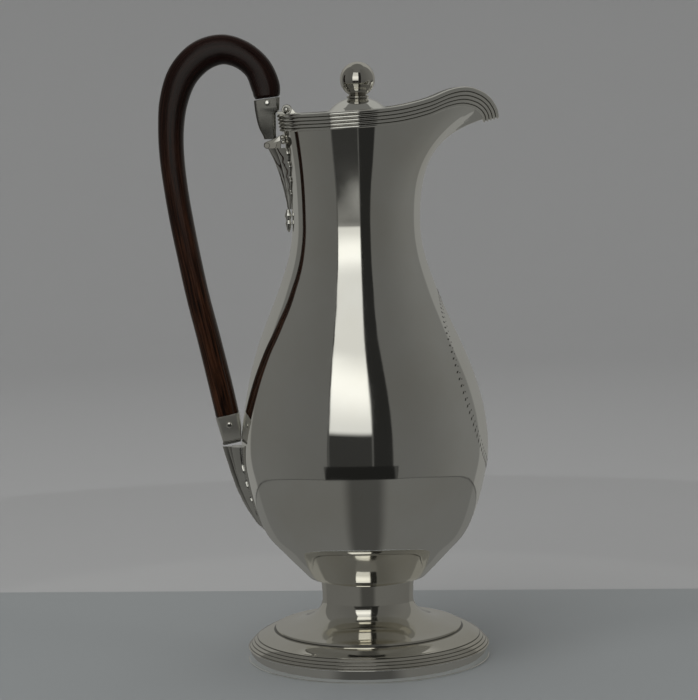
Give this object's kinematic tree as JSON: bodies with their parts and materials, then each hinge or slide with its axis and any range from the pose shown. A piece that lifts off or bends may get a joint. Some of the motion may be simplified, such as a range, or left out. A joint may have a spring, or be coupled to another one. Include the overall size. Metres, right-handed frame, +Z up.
{
  "type": "covered silver water pitcher",
  "caption": "Tall covered jug in polished silver with a pedestal foot, reeded rim rising to a beak spout, hinged domed lid with a ball finial, and a looped wooden handle.",
  "frame": {"origin": "centre of the foot's resting face, on the axis of the foot", "axes": "+Z up along the jug's axis, +X towards the spout, -X towards the handle, +Y across the jug"},
  "size_m": [0.1749, 0.128, 0.3244],
  "materials": {
    "silver": "old polished silver, mirror bright with fine hairlines and soft wear",
    "silver_inside": "unpolished silver inside, dull and slightly toned",
    "wood": "dark polished hardwood, redder and grained on the lower run"
  },
  "bodies": {
    "root": {"body_shell": "silver", "rim_band": "silver", "mouth_ledge": "silver_inside", "foot_spool": "silver", "foot_step_ring": "silver", "foot_reeded_ring": "silver", "foot_band": "silver", "hinge_plate": "silver", "hinge_pin": "silver", "hinge_pin_balls": "silver", "handle_wood": "wood", "upper_socket": "silver", "upper_socket_pin": "silver", "upper_scroll": "silver", "upper_leaf": "silver", "upper_leaf_beads": "silver", "lower_socket": "silver", "lower_socket_pin": "silver", "lower_collar": "silver", "lower_leaf": "silver"},
    "lid": {"lid_shell": "silver", "lid_bezel": "silver_inside", "lid_hinge_leaf": "silver", "finial_collar": "silver", "finial_ball": "silver", "finial_stud": "silver_inside", "finial_nut": "silver_inside"}
  },
  "joints": [
    {"name": "lid_hinge", "type": "hinge", "parent": "root", "child": "lid", "pos_m": [-0.0364, 0, 0.2856], "axis": [0, -1, 0], "range_deg": [0, 76]}
  ]
}
